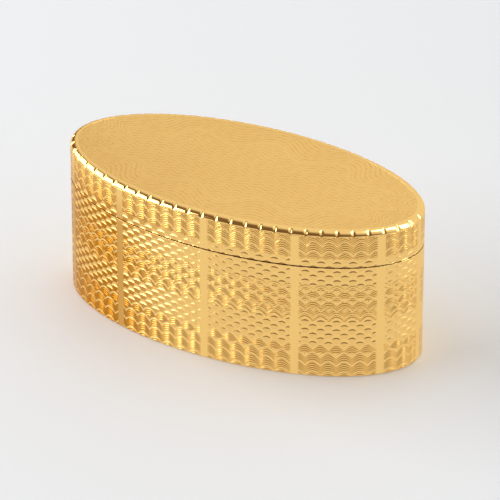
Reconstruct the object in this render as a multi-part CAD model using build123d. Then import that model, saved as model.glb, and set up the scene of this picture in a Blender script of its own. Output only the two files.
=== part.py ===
"""Oval engine-turned gold box with a hinged lid, in millimetres.

The box stands on Z = 0 with its long axis along X. The joint of the lid runs along X at the
back, +Y, and is let into the side bands so that nothing stands out past the oval.
"""
import math
import os

from build123d import *

# Outside of the closed box
length = 83.0
width = 41.0
height = 35.3
lid_height = 8.5

# Gold sheet that the box is made up from
side_band = 1.0
floor_plate = 0.9
top_plate = 0.8
foot_bevel = 0.3

# Moulded rim round the top, with a bright-cut bevel
rim_height = 1.2
rim_width = 1.7
rim_bevel = 1.1
top_recess = 0.1
notch_count = 60
notch_width = 1.0
notch_depth = 0.4
notch_slope = 27.0

# Engine-turned panels, cut back between plain upright strips that stand at these degrees of the oval
strip_turns = (0, 26.5, 59.5, 90, 120.5, 153.5, 180, 206, 239.5, 271.2, 300.5, 333.5)
strip_width = 1.7
panel_depth = 0.12

# Bezel that stands up from the base and centres the lid
bezel_thickness = 0.7
bezel_stand = 1.5
bezel_seat = 5.0
bezel_clearance = 0.1
solder_film = 0.02

# Joint of the lid: knuckles on one pin, held by a bar behind each side band
knuckle_radius = 1.2
knuckle_count = 9
joint_length = 20.0
knuckle_gap = 0.06
knuckle_clearance = 0.08
pin_radius = 0.4
pin_clearance = 0.03
plug_length = 0.8
bar_depth = 3.4
bar_height = 3.2
joint_relief_angle = 50.0

# Places that follow from the sizes
seam = height - lid_height
rim_bottom = height - rim_height
joint_y = width / 2 - knuckle_radius
bar_face = width / 2 - bar_depth
lid_band = side_band - bezel_clearance
knuckle_pitch = joint_length / knuckle_count


def outline(inset):
    """Oval plan of the box in a back and a front half, smaller than the outside by inset."""
    radii = (length / 2 - inset, width / 2 - inset)
    back = EllipticalCenterArc((0, 0), *radii, start_angle=0, arc_size=180)
    front = EllipticalCenterArc((0, 0), *radii, start_angle=180, arc_size=180)
    return make_face([back, front])


def oval(inset, low, high):
    """Oval block from z low to z high, smaller than the outside by inset all round."""
    return Pos(0, 0, low) * extrude(outline(inset), amount=high - low)


def oval_band(inset, thickness, low, high):
    """Upright oval band whose outer face lies inset inside the outside of the box."""
    return oval(inset, low, high) - oval(inset + thickness, low, high)


def in_front_of(y, low, high):
    """Block that holds all of the box on the front side of the upright plane at y."""
    behind_and_up = (Align.CENTER, Align.MAX, Align.MIN)
    return Pos(0, y, low) * Box(2 * length, 2 * width, high - low, align=behind_and_up)


def joint_rod(radius, start, end):
    """Round rod on the axis of the joint, from x start to x end."""
    section = Plane.YZ.offset(start) * Pos(joint_y, seam) * Circle(radius)
    return extrude(section, amount=end - start)


def perimeter_points(count):
    """Points spaced evenly round the outside of the oval, each with its direction along it."""
    edge = Ellipse(length / 2, width / 2).edge()
    for step in range(count):
        yield edge @ (step / count), edge % (step / count)


def bevelled_oval(low_inset, low, high_inset, high):
    """Oval block whose side slopes evenly from one inset at z low to another at z high."""
    return loft([Pos(0, 0, low) * outline(low_inset), Pos(0, 0, high) * outline(high_inset)], ruled=True)


def panelled_outline():
    """Plan of an engine-turned band: cut back by panel_depth, all but the plain strips."""
    strips = []
    for degrees in strip_turns:
        turn = math.radians(degrees)
        outward = math.degrees(math.atan2(math.sin(turn) / width, math.cos(turn) / length))
        place = Pos(length / 2 * math.cos(turn), width / 2 * math.sin(turn)) * Rot(0, 0, outward)
        strips.append(place * Rectangle(4 * side_band, strip_width))
    return outline(0) - (outline(0) - outline(panel_depth) - strips)


def engine_turned_band(thickness, low, high):
    """Upright oval band with the plain strips standing a little proud of its panels."""
    return Pos(0, 0, low) * extrude(panelled_outline() - outline(thickness), amount=high - low)


def joint_relief():
    """Wedge outside the joint's axis that lets the lid swing back over the base."""
    reach = 2 * knuckle_radius
    rise = reach * math.tan(math.radians(joint_relief_angle))
    section = Polygon((0, 0), (reach, -rise), (reach, rise), align=None)
    return extrude(Plane.YZ * Pos(joint_y, seam) * section, amount=length / 2, both=True)


def knuckle_span(number):
    """Start and end in x of the pitch that knuckle number takes, counted from the left."""
    start = -joint_length / 2 + number * knuckle_pitch
    return start, start + knuckle_pitch


def joint_channel(own):
    """Groove for the knuckles: tight under a body's own ones, clear round the other body's."""
    rods = []
    for number in range(knuckle_count):
        start, end = knuckle_span(number)
        room = 0 if number % 2 == own else knuckle_clearance
        rods.append(joint_rod(knuckle_radius + room, start, end))
    return rods


def knuckle(number, bore):
    """One knuckle, filed flush with the outside of the box."""
    start, end = knuckle_span(number)
    barrel = joint_rod(knuckle_radius, start + knuckle_gap / 2, end - knuckle_gap / 2)
    barrel -= joint_rod(bore, start, end)
    return barrel & oval(0, seam - 2 * knuckle_radius, seam + 2 * knuckle_radius)


# Knuckles are numbered from the left: the even places are the base's, the odd ones the lid's
BASE_OWN = 0
LID_OWN = 1


def base_wall():
    foot = bevelled_oval(foot_bevel, 0, 0, foot_bevel) - oval(side_band, 0, foot_bevel)
    band = foot + engine_turned_band(side_band, foot_bevel, seam)
    return band - joint_relief() - joint_channel(BASE_OWN)


def base_plate():
    return oval(side_band, 0, floor_plate)


def base_bezel():
    low = seam - bezel_seat
    high = seam + bezel_stand
    back = bar_face - bezel_clearance
    outer = oval(side_band + solder_film, low, high) & in_front_of(back, low, high)
    inner = oval(side_band + bezel_thickness, low, high) & in_front_of(back - bezel_thickness, low, high)
    return outer - inner


def base_joint_bar():
    low = seam - bar_height
    bar = oval(side_band, low, seam) - in_front_of(bar_face - bezel_clearance, low, seam)
    return bar - joint_relief() - joint_channel(BASE_OWN)


def lid_wall():
    band = engine_turned_band(lid_band, seam, rim_bottom)
    return band - joint_relief() - joint_channel(LID_OWN)


def lid_joint_bar():
    high = seam + bar_height
    bar = oval(lid_band, seam, high) - in_front_of(bar_face, seam, high)
    return bar - joint_relief() - joint_channel(LID_OWN)


def lid_rim():
    bevel_bottom = height - rim_bevel
    ring = oval(0, rim_bottom, bevel_bottom) + bevelled_oval(0, bevel_bottom, rim_bevel, height)
    ring -= oval(rim_width, rim_bottom, height)
    slope = math.radians(notch_slope)
    notch = Polygon((0, 0), (notch_width, 2 * notch_depth), (-notch_width, 2 * notch_depth), align=None)
    cuts = []
    for point, along in perimeter_points(notch_count):
        outward = Vector(along.Y, -along.X, 0)
        down = outward * math.cos(slope) - Vector(0, 0, math.sin(slope))
        start = point - outward * rim_bevel + Vector(0, 0, height - notch_depth) - down * rim_bevel
        cuts.append(extrude(Plane(origin=start, x_dir=along, z_dir=down) * notch, amount=3 * rim_bevel))
    return ring - cuts


def lid_plate():
    return oval(rim_width, height - top_recess - top_plate, height - top_recess)


def hinge_pin():
    return joint_rod(pin_radius, -joint_length / 2 + plug_length, joint_length / 2 - plug_length)


def hinge_plug(side):
    """Plug of gold that hides one end of the pin, filed flush with the end knuckle."""
    end = side * (joint_length / 2 - knuckle_gap / 2)
    start = side * (joint_length / 2 - plug_length)
    return joint_rod(pin_radius, min(start, end), max(start, end))


pieces = {
    "base_wall": base_wall(),
    "base_plate": base_plate(),
    "base_bezel": base_bezel(),
    "base_joint_bar": base_joint_bar(),
    "lid_wall": lid_wall(),
    "lid_rim": lid_rim(),
    "lid_plate": lid_plate(),
    "lid_joint_bar": lid_joint_bar(),
    "hinge_pin": hinge_pin(),
    "hinge_plug_left": hinge_plug(-1),
    "hinge_plug_right": hinge_plug(1),
}
for number in range(knuckle_count):
    if number % 2 == BASE_OWN:
        pieces[f"base_knuckle_{number // 2 + 1}"] = knuckle(number, pin_radius)
    else:
        pieces[f"lid_knuckle_{number // 2 + 1}"] = knuckle(number, pin_radius + pin_clearance)

os.makedirs("parts", exist_ok=True)
for name, shape in pieces.items():
    export_step(shape, f"parts/{name}.step")
    print(name, round(shape.volume, 3))
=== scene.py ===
import math

import bmesh
import bpy
import numpy as np
from mathutils import Matrix, Vector


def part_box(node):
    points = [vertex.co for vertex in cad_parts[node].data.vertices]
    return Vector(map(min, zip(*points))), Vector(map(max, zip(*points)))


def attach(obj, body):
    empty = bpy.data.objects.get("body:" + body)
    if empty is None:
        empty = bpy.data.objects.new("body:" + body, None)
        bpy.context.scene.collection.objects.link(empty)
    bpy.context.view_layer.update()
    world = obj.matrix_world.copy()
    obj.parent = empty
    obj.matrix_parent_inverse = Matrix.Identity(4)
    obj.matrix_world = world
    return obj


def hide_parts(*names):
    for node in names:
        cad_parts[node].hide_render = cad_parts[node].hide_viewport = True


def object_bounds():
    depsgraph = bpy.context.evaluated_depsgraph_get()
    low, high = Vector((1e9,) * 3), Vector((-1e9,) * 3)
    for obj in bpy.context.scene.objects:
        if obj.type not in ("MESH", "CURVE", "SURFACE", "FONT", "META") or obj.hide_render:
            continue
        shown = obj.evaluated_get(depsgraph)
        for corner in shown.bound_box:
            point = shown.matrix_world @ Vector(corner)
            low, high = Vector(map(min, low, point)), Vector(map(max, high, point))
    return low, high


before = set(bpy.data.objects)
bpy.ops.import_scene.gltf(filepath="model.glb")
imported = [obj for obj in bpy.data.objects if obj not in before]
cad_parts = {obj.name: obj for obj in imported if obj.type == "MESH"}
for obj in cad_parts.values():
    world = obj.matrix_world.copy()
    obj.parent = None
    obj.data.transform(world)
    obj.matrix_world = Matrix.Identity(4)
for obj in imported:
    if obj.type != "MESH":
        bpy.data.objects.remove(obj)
cad_low, cad_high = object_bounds()


# Base plate: the flat oval floor of the box
# Rolled gold sheet, let into the foot of the side band and soldered there. It is polished inside
# and out, handling has left it a little uneven in tone and gloss, and it has painted shade at the left
# front.
def feed(tree, socket, value):
    """Links a node's output to a socket, or sets a plain value on it."""
    if isinstance(value, bpy.types.NodeSocket):
        tree.links.new(value, socket)
    else:
        socket.default_value = value


def math_node(tree, operation, *values, clamp=False):
    """The output of a math node fed with other outputs and plain numbers."""
    node = tree.nodes.new("ShaderNodeMath")
    node.operation = operation
    node.use_clamp = clamp
    for socket, value in zip(node.inputs, values):
        feed(tree, socket, value)
    return node.outputs[0]


def ramp_node(tree, value, start, full, easing="LINEAR"):
    """The output of a node that climbs from 0 at the start to 1 at the full value."""
    node = tree.nodes.new("ShaderNodeMapRange")
    node.interpolation_type = easing
    for label, given in (("Value", value), ("From Min", start), ("From Max", full)):
        feed(tree, node.inputs[label], given)
    return node.outputs["Result"]


def mix_node(tree, kind, factor, first, second):
    """The output of a node that blends two colours or two numbers."""
    node = tree.nodes.new("ShaderNodeMix")
    node.data_type = kind
    for label, given in (("Factor", factor), ("A", first), ("B", second)):
        feed(tree, node.inputs[label], given)
    return node.outputs["Result"]


def noise_node(tree, place, scale, detail):
    """The output of a noise, its scale in lumps per metre."""
    node = tree.nodes.new("ShaderNodeTexNoise")
    for label, given in (("Vector", place), ("Scale", scale), ("Detail", detail)):
        feed(tree, node.inputs[label], given)
    return node.outputs["Fac"]


# The gold's colour and roughness: random tone and wear from handling, and painted shade at the left
# front corner
wear_and_shade_group = bpy.data.node_groups.new("wear_and_painted_shade", "ShaderNodeTree")
for label, kind in (("Gold", "NodeSocketColor"), ("Shaded Gold", "NodeSocketColor"),
                    ("Unshaded Cut", "NodeSocketFloat"),
                    ("Smoothest", "NodeSocketFloat"), ("Roughest", "NodeSocketFloat")):
    wear_and_shade_group.interface.new_socket(label, in_out="INPUT", socket_type=kind)
for label, kind in (("Colour", "NodeSocketColor"), ("Roughness", "NodeSocketFloat")):
    wear_and_shade_group.interface.new_socket(label, in_out="OUTPUT", socket_type=kind)
group_in = wear_and_shade_group.nodes.new("NodeGroupInput").outputs
group_out = wear_and_shade_group.nodes.new("NodeGroupOutput").inputs
place = wear_and_shade_group.nodes.new("ShaderNodeTexCoord").outputs["Object"]
clouds = noise_node(wear_and_shade_group, place, scale=55, detail=4)
rubs = noise_node(wear_and_shade_group, place, scale=900, detail=2)
axes = wear_and_shade_group.nodes.new("ShaderNodeSeparateXYZ")
wear_and_shade_group.links.new(place, axes.inputs["Vector"])

# Painted shade: the colour darkens towards the left front corner, less towards the lid, and the cuts
# have none
to_left = ramp_node(wear_and_shade_group, axes.outputs["X"], start=0.0, full=-0.027, easing="SMOOTHSTEP")
to_front = ramp_node(wear_and_shade_group, axes.outputs["Y"], start=0.004, full=-0.005, easing="SMOOTHSTEP")
to_foot = ramp_node(wear_and_shade_group, axes.outputs["Z"], start=0.036, full=0.0255)
shaded_corner = math_node(wear_and_shade_group, "MULTIPLY", to_left, to_front)
shaded_side = math_node(wear_and_shade_group, "MULTIPLY", shaded_corner, to_foot)
shade_and_clouds = math_node(wear_and_shade_group, "MULTIPLY_ADD", clouds, 0.2, shaded_side)
shade_share = math_node(wear_and_shade_group, "SUBTRACT", shade_and_clouds, group_in["Unshaded Cut"], clamp=True)
colour = mix_node(wear_and_shade_group, "RGBA", shade_share, group_in["Gold"], group_in["Shaded Gold"])
roughness = mix_node(wear_and_shade_group, "FLOAT", rubs, group_in["Smoothest"], group_in["Roughest"])
wear_and_shade_group.links.new(colour, group_out["Colour"])
wear_and_shade_group.links.new(roughness, group_out["Roughness"])

yellow_gold = (0.99, 0.645, 0.22)
# The polished gold's colour where the painted shade is full
polished_shade_gold = (0.86, 0.48, 0.13)
edge_sheen = (1, 0.9, 0.72)


def gold_finish(name, shade_colour, smoothest, roughest):
    """A yellow gold with roughness and tone left uneven by handling, and painted shade towards the left
    front corner.
    """
    material = bpy.data.materials.new(name)
    material.use_nodes = True
    tree = material.node_tree
    shader = tree.nodes["Principled BSDF"]
    shader.inputs["Metallic"].default_value = 1.0
    shader.inputs["Specular Tint"].default_value = (*edge_sheen, 1)
    worn_and_shaded = tree.nodes.new("ShaderNodeGroup")
    worn_and_shaded.name = "worn_and_shaded"
    worn_and_shaded.node_tree = wear_and_shade_group
    for label, given in (("Gold", (*yellow_gold, 1)), ("Shaded Gold", (*shade_colour, 1)), ("Unshaded Cut", 0),
                         ("Smoothest", smoothest), ("Roughest", roughest)):
        worn_and_shaded.inputs[label].default_value = given
    tree.links.new(worn_and_shaded.outputs["Colour"], shader.inputs["Base Color"])
    tree.links.new(worn_and_shaded.outputs["Roughness"], shader.inputs["Roughness"])
    return material


polished_gold = gold_finish("polished_gold", polished_shade_gold, smoothest=0.09, roughest=0.16)


def finish_node(name, material):
    """Gives a CAD node its material."""
    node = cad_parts[name]
    node.data.materials.clear()
    node.data.materials.append(material)


finish_node("base_plate", polished_gold)


# Base band: the engine-turned side of the base
# A strip of gold bent to an oval, soldered, and cut on the rose engine in twelve panels with
# plain uprights between them. Each panel is one piece here, and they meet in the uprights.
base_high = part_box("base_wall")[1]
half_length = base_high.x
half_width = base_high.y
seam = base_high.z
base_thickness = 1.0e-3
base_rebate = 0.17e-3
foot_bevel = 0.3e-3
column_step = 0.14e-3
row_step = 0.09e-3

# The oval's girth, and where round it the uprights stand, in degrees of the ellipse's parameter
turns = np.linspace(0, 2 * math.pi, 7201)
steps = np.hypot(np.diff(half_length * np.cos(turns)), np.diff(half_width * np.sin(turns)))
arcs = np.concatenate([[0], np.cumsum(steps)])
girth = arcs[-1]
upright_turns = (0, 26.5, 59.5, 90, 120.5, 153.5, 180, 206, 239.5, 271.2, 300.5, 333.5, 360)
upright_arcs = np.interp(np.radians(upright_turns), turns, arcs)
panel_count = len(upright_turns) - 1
upright_half = 0.75e-3
upright_slope = 0.3e-3
# Share of the painted corner shade kept off the uprights
upright_unshaded = 0.4

# The waves of the engine, crest to crest, with a crest a little right of the middle of the front
wave_count = 60
wave_length = girth / wave_count
front_crest = 0.75 * girth + 0.07 * wave_length

# Deep cuts, in mm: the height of each one's crests, and its shift in half waves
wave_drop = 1.08
corn_depth = 0.15
bold_depth = 0.09
lower_slope = 0.36
corn_slope = 0.2
bold_slope = 0.3
corn_crests = (28.3, 27.2, 26.05, 25.0, 23.9, 22.9, 13.95, 12.9, 11.85, 10.8, 9.75, 8.7)
corn_lines = [(crest, 0.5 * (row % 2)) for row, crest in enumerate(corn_crests)]
bold_lines = [(32.9, 0.5), (30.6, 0.5), (21.9, 0.0), (21.2, 0.5), (19.5, 0.0), (18.8, 0.5),
              (17.0, 0.5), (15.4, 0.0), (7.8, 0.0), (5.8, 0.5), (3.6, 0.5), (1.2, 0.5)]
# Cuts this deep, in metres, get none of the painted corner shade
unshaded_depth = 0.04e-3

# Zones of fine lines, in mm: top, bottom and shift
fine_zones = [(35.3, 29.0, 0.5), (22.4, 21.2, 0.0), (21.2, 19.5, 0.5), (19.5, 18.8, 0.0),
              (18.8, 16.9, 0.5), (16.9, 14.5, 0.0), (7.8, 5.8, 0.0), (5.8, 0.0, 0.5)]
wave_steepness = 1.182
fine_line_end = 0.02e-3


def wave(arc, shift):
    """How far the wave has dropped below its crest: 0 on the crest, 1 in the cusp."""
    phase = (arc - front_crest) / wave_length + shift
    return (2 * (phase - np.round(phase))) ** 2


def panel_mask(arc):
    """0 on the plain uprights, 1 in the panels."""
    gap = np.min(np.abs(arc[..., None] - upright_arcs), axis=-1)
    return np.clip((gap - upright_half) / upright_slope, 0, 1)


def shallower(over, upper_slope):
    """How much a cut has lost of its depth at a height over its line, or under it."""
    return np.where(over < 0, -lower_slope * over, upper_slope * over)


def engraving(arc, z):
    """Depth of the deep cuts, in metres: long upper slopes and short, steep lower ones."""
    height = z * 1000
    drops = {shift: wave(arc, shift) for shift in (0.0, 0.5)}
    depth = np.zeros_like(arc)
    for crest, shift in corn_lines:
        over = height - (crest - wave_drop * drops[shift])
        crest_share = np.clip(1.1 - 2 * drops[shift], 0, 1)
        depth = np.maximum(depth, corn_depth * crest_share - shallower(over, corn_slope))
    for crest, shift in bold_lines:
        over = height - (crest - wave_drop * drops[shift])
        depth = np.maximum(depth, bold_depth - shallower(over, bold_slope))
    return depth * 1e-3 * panel_mask(arc)


def fine_turning(arc, z):
    """Height below the wave above, in mm, and where the fine lines are cut."""
    height = z * 1000
    line = np.zeros_like(arc)
    cut = np.zeros_like(arc)
    for top, bottom, shift in fine_zones:
        drop = wave(arc, shift)
        level = height + wave_drop * drop
        inside = (level < top) & (level >= bottom)
        line = np.where(inside, top - level, line)
        cut = np.where(inside, 1 / np.hypot(1, wave_steepness * wave_drop * np.sqrt(drop)), cut)
    return line, cut * panel_mask(arc) * (engraving(arc, z) < fine_line_end)


joint_y = half_width - 1.2e-3
joint_relief = math.tan(math.radians(50))
joint_groove = 1.28e-3
joint_reach = 10.03e-3


def joint_cut(x, y):
    """How far the two bands are cut back from the seam to let the joint turn."""
    out = y - joint_y
    relief = np.maximum(out, 0) * joint_relief
    groove = np.sqrt(np.maximum(joint_groove**2 - out**2, 0)) * (np.abs(x) < joint_reach)
    return np.maximum(relief, groove) * (y > 0)


def oval_place(arc, inset):
    """The point of the oval at an arc length, moved in along the oval's normal."""
    turn = np.interp(arc, arcs, turns)
    nx = np.cos(turn) / half_length
    ny = np.sin(turn) / half_width
    size = np.hypot(nx, ny)
    return half_length * np.cos(turn) - inset * nx / size, half_width * np.sin(turn) - inset * ny / size


def seam_edge(arc, inset, way, rebate):
    """Height of a band's edge at the seam: way is -1 for the base's, under it, and 1 for the lid's."""
    return seam + way * (joint_cut(*oval_place(arc, inset)) + rebate)


def new_piece(name, bm):
    """Puts a finished bmesh into the scene."""
    mesh = bpy.data.meshes.new(name)
    bm.to_mesh(mesh)
    bm.free()
    piece = bpy.data.objects.new(name, mesh)
    bpy.context.scene.collection.objects.link(piece)
    return piece


def point_grid(x, y, z, marks):
    """A bmesh grid through rows of points, which carry the named marks."""
    rows, columns = x.shape
    bm = bmesh.new()
    bmesh.ops.create_grid(bm, x_segments=columns - 1, y_segments=rows - 1, size=1)
    draft = bpy.data.meshes.new("draft")
    bm.to_mesh(draft)
    draft.vertices.foreach_set("co", np.stack([x, y, z], -1).astype(np.float32).ravel())
    for label, part in marks.items():
        values = draft.attributes.new(label, "FLOAT", "POINT").data
        values.foreach_set("value", part.astype(np.float32).ravel())
    bm.clear()
    bm.from_mesh(draft)
    bpy.data.meshes.remove(draft)
    return bm


def swept_band(name, arc, inset, z, closed, **marks):
    """A closed band from rows of inset and height along the oval, round the section and back."""
    inset, z = np.vstack([inset, inset[:1]]), np.vstack([z, z[:1]])
    x, y = oval_place(np.broadcast_to(arc, inset.shape), inset)
    full_marks = {}
    for label, part in marks.items():
        full_marks[label] = np.vstack([part, np.zeros((len(inset) - len(part), len(arc)))])
    bm = point_grid(x, y, z, full_marks)
    bmesh.ops.remove_doubles(bm, verts=bm.verts, dist=1e-6)
    if not closed:
        ends = [edge for edge in bm.edges if edge.is_boundary]
        bmesh.ops.holes_fill(bm, edges=ends, sides=0)
        for edge in ends:
            edge.smooth = False
    bmesh.ops.recalc_face_normals(bm, faces=bm.faces)
    for face in bm.faces:
        face.smooth = True
    return new_piece(name, bm)


def mark_node(tree, name):
    """The output of a node that reads a mark of the mesh."""
    node = tree.nodes.new("ShaderNodeAttribute")
    node.attribute_name = name
    return node.outputs["Fac"]


# Fine lines: mm from one to the next and from a groove's middle to its edge, and metres deep
line_pitch = 0.52
groove_half = 0.15
fine_line_depth = 0.068e-3
# Colours of painted shade: the left front corner, the fine-line grooves and the slot at the seam
turned_shade_gold = (0.50, 0.195, 0.012)
groove_shade_gold = (0.60, 0.25, 0.015)
seam_shade_gold = (0.26, 0.10, 0.02)
engine_turned_gold = gold_finish("engine_turned_gold", turned_shade_gold, smoothest=0.20, roughest=0.30)
tree = engine_turned_gold.node_tree
shader = tree.nodes["Principled BSDF"]
worn_and_shaded = tree.nodes["worn_and_shaded"]
tree.links.new(mark_node(tree, "bright_cut"), worn_and_shaded.inputs["Unshaded Cut"])
fine_cut = mark_node(tree, "fine_cut")
from_line = math_node(tree, "PINGPONG", mark_node(tree, "fine_line"), line_pitch / 2)
groove = ramp_node(tree, from_line, start=groove_half, full=0)
groove_depth = math_node(tree, "MULTIPLY", groove, fine_cut)
fine_relief = tree.nodes.new("ShaderNodeBump")
fine_relief.invert = True
fine_relief.inputs["Distance"].default_value = fine_line_depth
tree.links.new(groove_depth, fine_relief.inputs["Height"])
tree.links.new(fine_relief.outputs["Normal"], shader.inputs["Normal"])
# Painted shade in the fine-line zones, darkest along the grooves
turned = math_node(tree, "MULTIPLY", fine_cut, 3.0, clamp=True)
groove_shade_share = math_node(tree, "MULTIPLY_ADD", groove, 0.60, 0.08)
groove_shade = math_node(tree, "MULTIPLY", groove_shade_share, turned)
groove_shaded = mix_node(tree, "RGBA", groove_shade, worn_and_shaded.outputs["Colour"], (*groove_shade_gold, 1))
# Painted shade in the slot at the seam
seam_shaded = mix_node(tree, "RGBA", mark_node(tree, "seam_dust"), groove_shaded, (*seam_shade_gold, 1))
tree.links.new(seam_shaded, shader.inputs["Base Color"])


def panel_arc(panel):
    """Arc lengths across a panel, from the middle of one upright to the next."""
    start, end = upright_arcs[panel], upright_arcs[panel + 1]
    return np.linspace(start, end, int(round((end - start) / column_step)) + 1)


def face_rows(low, high, span):
    """Heights of the rows of a band's outer face between its edges, a row to each step of the span."""
    share = np.linspace(0, 1, int(round(span / row_step)) + 1)[:, None]
    return low + share * (high - low)


def turned_band(name, arc, z, bevel, inner):
    """One panel of a turned band: its cut outer face, then the inner rows of inset, height and painted
    seam shade.
    """
    rows = np.broadcast_to(arc, z.shape)
    cuts = engraving(rows, z)
    line, cut = fine_turning(rows, z)
    # Where the painted corner shade is kept off: wholly in the deep cuts, partly on the uprights
    bright = np.clip(cuts / unshaded_depth, upright_unshaded * (1 - panel_mask(rows)), 1)
    behind = [[np.broadcast_to(value, arc.shape) for value in row] for row in inner]
    insets = np.vstack([np.maximum(cuts, bevel - z)] + [row[0] for row in behind])
    heights = np.vstack([z] + [row[1] for row in behind])
    dust = np.vstack([np.zeros_like(z)] + [row[2] for row in behind])
    piece = swept_band(name, arc, insets, heights, False, fine_line=line, fine_cut=cut,
                       bright_cut=bright, seam_dust=dust)
    piece.data.materials.append(engine_turned_gold)
    return piece


# The base's edge from outside to inside: share of the thickness, rebate at the seam, and painted shade
# in it
base_edge = ((0.03, base_rebate, 1), (0.4, base_rebate, 1), (0.4, 0, 1), (0.7, 0, 0), (1.0, 0, 0))
for panel in range(panel_count):
    arc = panel_arc(panel)
    z = face_rows(0, seam_edge(arc, 0, -1, base_rebate), seam)
    inner = [(share * base_thickness, seam_edge(arc, share * base_thickness, -1, rebate), dust)
             for share, rebate, dust in base_edge]
    inner.append((base_thickness, 0, 0))
    piece = turned_band(f"base_panel_{panel + 1}", arc, z, foot_bevel, inner)
    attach(piece, "base")
    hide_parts("base_wall")


# Bezel: the upright lip inside the mouth of the base
# A thin polished gold band soldered inside the base's side. It stands a little above the seam,
# and the lid closes over it.
finish_node("base_bezel", polished_gold)


# Joint of the base: its bar, five knuckles, pin and plugs
# A bar soldered behind the band carries the base's half of the concealed joint. The knuckles are
# drawn gold tube, the pin is hard wire, and its ends are closed with flush gold plugs.
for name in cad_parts:
    if name.startswith(("base_joint_bar", "base_knuckle", "hinge_")):
        finish_node(name, polished_gold)


# Lid band: the engine-turned side of the lid
# A shallow strip of gold, bent and soldered like the base's and turned together with it, so its
# panels and uprights run on from those below the seam.
lid_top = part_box("lid_wall")[1].z
lid_thickness = 0.9e-3
lid_rebate = 0.08e-3

# The lid's edge from inside to outside, as the base's
lid_edge = ((1.0, 0, 0), (0.7, 0, 0), (0.45, 0, 1), (0.45, lid_rebate, 1), (0.03, lid_rebate, 1))
for panel in range(panel_count):
    arc = panel_arc(panel)
    z = face_rows(seam_edge(arc, 0, 1, lid_rebate), lid_top, lid_top - seam)
    inner = [(lid_thickness, lid_top, 0)]
    inner += [(share * lid_thickness, seam_edge(arc, share * lid_thickness, 1, rebate), dust)
              for share, rebate, dust in lid_edge]
    piece = turned_band(f"lid_panel_{panel + 1}", arc, z, 0, inner)
    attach(piece, "lid")
    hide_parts("lid_wall")


# Rim: the bright-cut wire round the top of the lid
# Half-round gold wire bent to the oval and soldered on the band, its shoulder a little flattened.
# Sixty small V cuts, bright from the graver, cross it in step with the waves of the band below.
rim_low, rim_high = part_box("lid_rim")
rim_width = 1.7e-3
rim_round = 1.1e-3
rim_flatness = 1.2
shoulder_rows = 15
flat_rows = (1.25e-3, 1.4e-3, 1.55e-3, 1.68e-3, rim_width)
columns_per_cut = 24
notch_depth = 0.19e-3
notch_half = 0.43e-3

# Each row: inset, height, and how far a cut moves it in and down
profile = [(0, rim_low.z, 0, 0)]
for a in np.linspace(0, math.pi / 2, shoulder_rows):
    profile.append((rim_round * (1 - math.cos(a) ** rim_flatness),
                    rim_high.z - rim_round * (1 - math.sin(a) ** rim_flatness),
                    math.cos(a) * math.sin(2 * a), math.sin(a) * math.sin(2 * a)))
profile += [(inset, rim_high.z, 0, 0) for inset in flat_rows]
profile.append((rim_width, rim_low.z, 0, 0))
arc = np.linspace(0, girth, wave_count * columns_per_cut + 1)
inset, z, inward, down = (np.array(part)[:, None] + 0 * arc for part in zip(*profile))
phase = (arc - front_crest) / wave_length
aside = np.abs(phase - np.round(phase)) * wave_length
notch = notch_depth * np.clip(1 - aside / notch_half, 0, 1)
rim = swept_band("rim_wire", arc, inset + notch * inward, z - notch * down, True)
rim.data.materials.append(polished_gold)
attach(rim, "lid")
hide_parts("lid_rim")


# Lid plate: the engine-turned top of the lid
# Flat gold sheet let into the rim. Faint wavy lines run along its middle, and a border of lobed
# lines follows the oval, one lobe to each panel of the side. All are lightly and unevenly cut.
plate_low, plate_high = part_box("lid_plate")
plate_inset = half_length - plate_high.x
plate_drop = 0.01e-3
ring_step = 0.3e-3
last_ring = half_width - 0.4e-3
ring_columns = 1201

# The plate's rings shrink from its edge to a straight line along its middle
rings = np.append(np.arange(plate_inset, last_ring, ring_step), half_width)
arc = np.linspace(0, girth, ring_columns)
turn = np.interp(arc, arcs, turns)
share = (rings - plate_inset)[:, None] / (half_width - plate_inset)
edge_x, edge_y = oval_place(arc, plate_inset)
x = edge_x * (1 - share) + (half_length - half_width) * np.cos(turn) * share
y = edge_y * (1 - share)
z = np.full_like(x, rim_high.z - plate_drop)

# Sizes and places of the lines, in mm
border_width = 5.0
border_lobe = 4.5
border_gap = 0.4
border_cut = 0.22
middle_start = 20
middle_wave = 0.35
middle_cut = 0.18
plate_line_spread = 2.2
skipped_share = 0.4
x_mm, y_mm = x * 1000, y * 1000
lobes = border_lobe * np.sin(math.pi * np.interp(arc, upright_arcs, np.arange(panel_count + 1))) ** 2
border_line = (rings[:, None] - plate_inset) * 1000 - lobes
middle_line = middle_start + y_mm + middle_wave * np.sin(2 * math.pi * x / wave_length)
in_border = border_line < border_width
line = np.where(in_border, border_line, middle_line) / plate_line_spread


def wandering(along, across, rate, sway, sway_rate):
    """A wave that sways as it goes."""
    return np.sin(rate * along + sway * np.sin(sway_rate * across))


skips = wandering(x_mm, y_mm, 2.1, 1.7, 1.9) * wandering(y_mm, x_mm, 2.6, 0.9, 1.3)
uneven = 1 - skipped_share + skipped_share * skips
clear_of_border = np.clip(np.abs(border_line - border_width) / border_gap - 0.6, 0, 1)
cut = np.where(in_border, border_cut, middle_cut) * uneven * clear_of_border
bm = point_grid(x, y, z, {"fine_line": line, "fine_cut": cut})
bmesh.ops.remove_doubles(bm, verts=bm.verts, dist=2e-6)
outer = [edge for edge in bm.edges if edge.is_boundary]
side = bmesh.ops.extrude_edge_only(bm, edges=outer)
for item in side["geom"]:
    if isinstance(item, bmesh.types.BMVert):
        item.co.z = plate_low.z
bmesh.ops.holes_fill(bm, edges=[edge for edge in bm.edges if edge.is_boundary], sides=0)
bmesh.ops.recalc_face_normals(bm, faces=bm.faces)
plate = new_piece("top_plate", bm)
plate.data.materials.append(engine_turned_gold)
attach(plate, "lid")
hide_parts("lid_plate")


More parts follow.
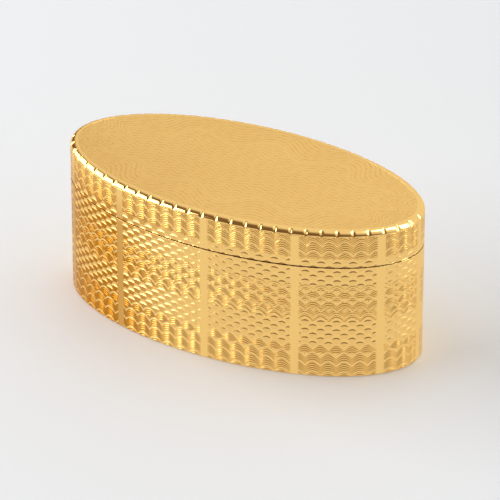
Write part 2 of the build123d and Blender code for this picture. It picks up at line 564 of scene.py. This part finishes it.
# Joint of the lid: its bar and four knuckles
# The lid's half of the concealed joint, soldered behind the lid's band. Its knuckles, of the same
# gold tube, stand between those of the base and turn on the same pin.
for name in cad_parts:
    if name.startswith(("lid_joint_bar", "lid_knuckle")):
        finish_node(name, polished_gold)


# Stand, light and camera
# A plain pale floor, seen through from below. A broad soft light at the left lights floor and box,
# a small one before it and a tall one high at the right show only in the gold's reflections.
floor_half = 3
floor_drop = 0.01e-3
floor_white = (0.81, 0.835, 0.855)
bm = bmesh.new()
bmesh.ops.create_grid(bm, x_segments=1, y_segments=1, size=floor_half)
bmesh.ops.translate(bm, verts=bm.verts, vec=(0, 0, -floor_drop))
floor = new_piece("floor", bm)
floor_paper = bpy.data.materials.new("floor_paper")
floor_paper.use_nodes = True
tree = floor_paper.node_tree
shader = tree.nodes["Principled BSDF"]
shader.inputs["Base Color"].default_value = (*floor_white, 1)
shader.inputs["Roughness"].default_value = 0.9


def shader_blend(factor, first, second):
    """The output of a node that blends two of the floor's shaders."""
    node = tree.nodes.new("ShaderNodeMixShader")
    for socket, given in zip(node.inputs, (factor, first, second)):
        tree.links.new(given, socket)
    return node.outputs[0]


# What the gold reflects of the floor is mostly plain pale, without the box's shadow
ray = tree.nodes.new("ShaderNodeLightPath").outputs
pale = tree.nodes.new("ShaderNodeEmission")
pale.inputs["Color"].default_value = (0.90, 0.90, 0.90, 1)
mirrored = math_node(tree, "ADD", ray["Is Glossy Ray"], ray["Is Transmission Ray"])
pale_share = math_node(tree, "MULTIPLY", mirrored, 0.75)
from_above = shader_blend(pale_share, shader.outputs[0], pale.outputs[0])
clear = tree.nodes.new("ShaderNodeBsdfTransparent")
below = tree.nodes.new("ShaderNodeNewGeometry").outputs["Backfacing"]
one_way = shader_blend(below, from_above, clear.outputs[0])
tree.links.new(one_way, tree.nodes["Material Output"].inputs["Surface"])
floor.data.materials.append(floor_paper)

middle = Vector((0, 0, cad_high.z / 2))
upright = Vector((0, 0, 1))
leaning = Vector((0.01, -0.14, 1))
light_distance = 2.0


def from_view(azimuth, elevation):
    """Unit vector from the box towards a place, in the degrees that the views are named by."""
    a, e = math.radians(azimuth), math.radians(elevation)
    return Vector((math.sin(a) * math.cos(e), -math.cos(a) * math.cos(e), math.sin(e)))


def soft_light(name, way, along, size, radiance):
    """A rectangular light facing the box, its first side laid along the given direction."""
    lamp = bpy.data.lights.new(name, "AREA")
    lamp.shape = "RECTANGLE"
    lamp.size, lamp.size_y = size
    lamp.energy = radiance * math.pi * size[0] * size[1]
    light = bpy.data.objects.new(name, lamp)
    side = (along - way * along.dot(way)).normalized()
    turn = Matrix((side, way.cross(side), way)).transposed().to_4x4()
    light.matrix_world = Matrix.Translation(middle + way * light_distance) @ turn
    bpy.context.scene.collection.objects.link(light)
    return light


soft_light("left_panel", from_view(-70, 20), leaning, size=(1.5, 2.8), radiance=4.5)
front_lamp = soft_light("front_lamp", from_view(-40, 12), upright, size=(0.9, 0.8), radiance=3.0)
right_panel = soft_light("right_panel", from_view(107, 42), upright, size=(2.8, 0.9), radiance=5.0)
front_lamp.visible_diffuse = False
right_panel.visible_diffuse = False

world = bpy.data.worlds.new("studio")
world.use_nodes = True
bpy.context.scene.world = world
tree = world.node_tree
ray_way = tree.nodes.new("ShaderNodeTexCoord")
towards_back = tree.nodes.new("ShaderNodeVectorMath")
towards_back.operation = "DOT_PRODUCT"
towards_back.inputs[1].default_value = from_view(140, 45)
room = tree.nodes.new("ShaderNodeValToRGB")
dark_front, pale_back = room.color_ramp.elements
dark_front.position = 0.20
dark_front.color = (0.19, 0.125, 0.085, 1)
pale_back.position = 0.57
pale_back.color = (0.915, 0.92, 0.925, 1)
tree.links.new(ray_way.outputs["Generated"], towards_back.inputs[0])
tree.links.new(towards_back.outputs["Value"], room.inputs["Fac"])
tree.links.new(room.outputs["Color"], tree.nodes["Background"].inputs["Color"])

photo_pixels = 500
centre_pixel = (245.6, 242.5)
focal_pixels = 4851.0
camera_way = from_view(28.0, 30.04)
camera_distance = 1.0444
camera_data = bpy.data.cameras.new("camera")
camera_data.sensor_width = 36
camera_data.lens = focal_pixels / photo_pixels * camera_data.sensor_width
camera_data.shift_x = 0.5 - centre_pixel[0] / photo_pixels
camera_data.shift_y = centre_pixel[1] / photo_pixels - 0.5
camera_data.clip_end = 20
camera = bpy.data.objects.new("camera", camera_data)
camera.location = middle + camera_way * camera_distance
camera.rotation_euler = camera_way.to_track_quat("Z", "Y").to_euler()
bpy.context.scene.collection.objects.link(camera)
bpy.context.scene.camera = camera
bpy.context.scene.view_settings.view_transform = "Standard"
